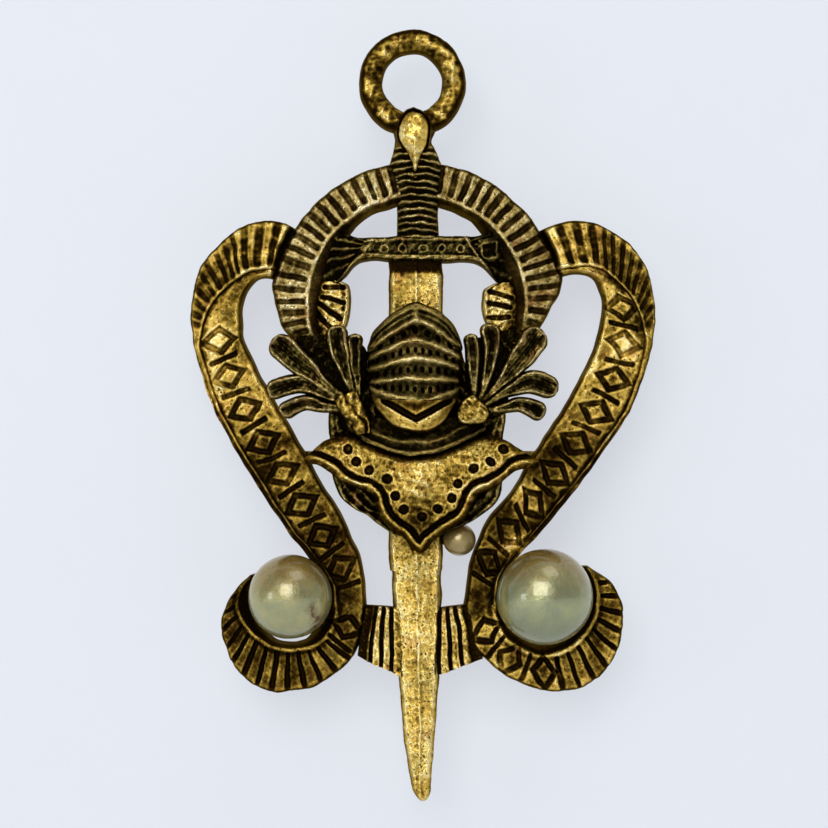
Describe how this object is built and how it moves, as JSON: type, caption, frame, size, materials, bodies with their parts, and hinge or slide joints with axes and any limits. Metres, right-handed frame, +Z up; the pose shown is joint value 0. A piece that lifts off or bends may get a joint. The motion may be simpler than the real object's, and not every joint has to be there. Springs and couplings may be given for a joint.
{
  "type": "cap badge",
  "caption": "Antiqued brass badge drop: a sword through a ribbon arch, a plumed helmet and gorget on top, ribbon scrolls curled round faux pearls, a hanging ring and a brooch pin behind.",
  "frame": {"origin": "middle of the hanging ring's bore, half way through its thickness", "axes": "+Z up the sword from point to ring, -Y out of the face, +Y out of the back, +X to the right seen from the front"},
  "size_m": [0.039, 0.0129, 0.0647],
  "materials": {
    "gilt_brass": "worn gilt with dark patina in the recesses",
    "back_brass": "plain cast and soldered, dull",
    "pearl": "grey-green pearl coat with tan stains",
    "small_pearl": "worn cream pearl coat",
    "pin_steel": "drawn wire, dull"
  },
  "bodies": {
    "badge": {"hanging_ring": "gilt_brass", "grip": "gilt_brass", "pommel": "gilt_brass", "crossguard": "gilt_brass", "blade": "gilt_brass", "ribbon_arch": "gilt_brass", "ribbon_scroll_left": "gilt_brass", "ribbon_scroll_right": "gilt_brass", "ribbon_curl_left": "gilt_brass", "ribbon_curl_right": "gilt_brass", "link_band_left": "gilt_brass", "link_band_right": "gilt_brass", "ribbon_tail_left": "gilt_brass", "ribbon_tail_right": "gilt_brass", "backing_shield": "gilt_brass", "helmet_skull": "gilt_brass", "helmet_visor": "gilt_brass", "helmet_bevor": "gilt_brass", "neck_roll": "gilt_brass", "gorget": "gilt_brass", "plume_left": "gilt_brass", "plume_right": "gilt_brass", "pearl_post_left": "back_brass", "pearl_post_right": "back_brass", "pearl_post_small": "back_brass", "pearl_left": "pearl", "pearl_right": "pearl", "pearl_small": "small_pearl", "helmet_peg": "back_brass", "gorget_peg": "back_brass", "pin_bar": "back_brass", "hinge_ears": "back_brass", "hinge_rivet": "pin_steel", "catch_housing": "back_brass"},
    "pin": {"pin_wire": "pin_steel"},
    "lock": {"catch_lock": "back_brass"}
  },
  "joints": [
    {"name": "pin_hinge", "type": "hinge", "parent": "badge", "child": "pin", "pos_m": [-0.01145, 0.0033, -0.0315], "axis": [0, 0, 1], "range_deg": [0, 100]},
    {"name": "lock_turn", "type": "hinge", "parent": "badge", "child": "lock", "pos_m": [0.01235, 0.0033, -0.0315], "axis": [1, 0, 0], "range_deg": [0, 100]}
  ]
}
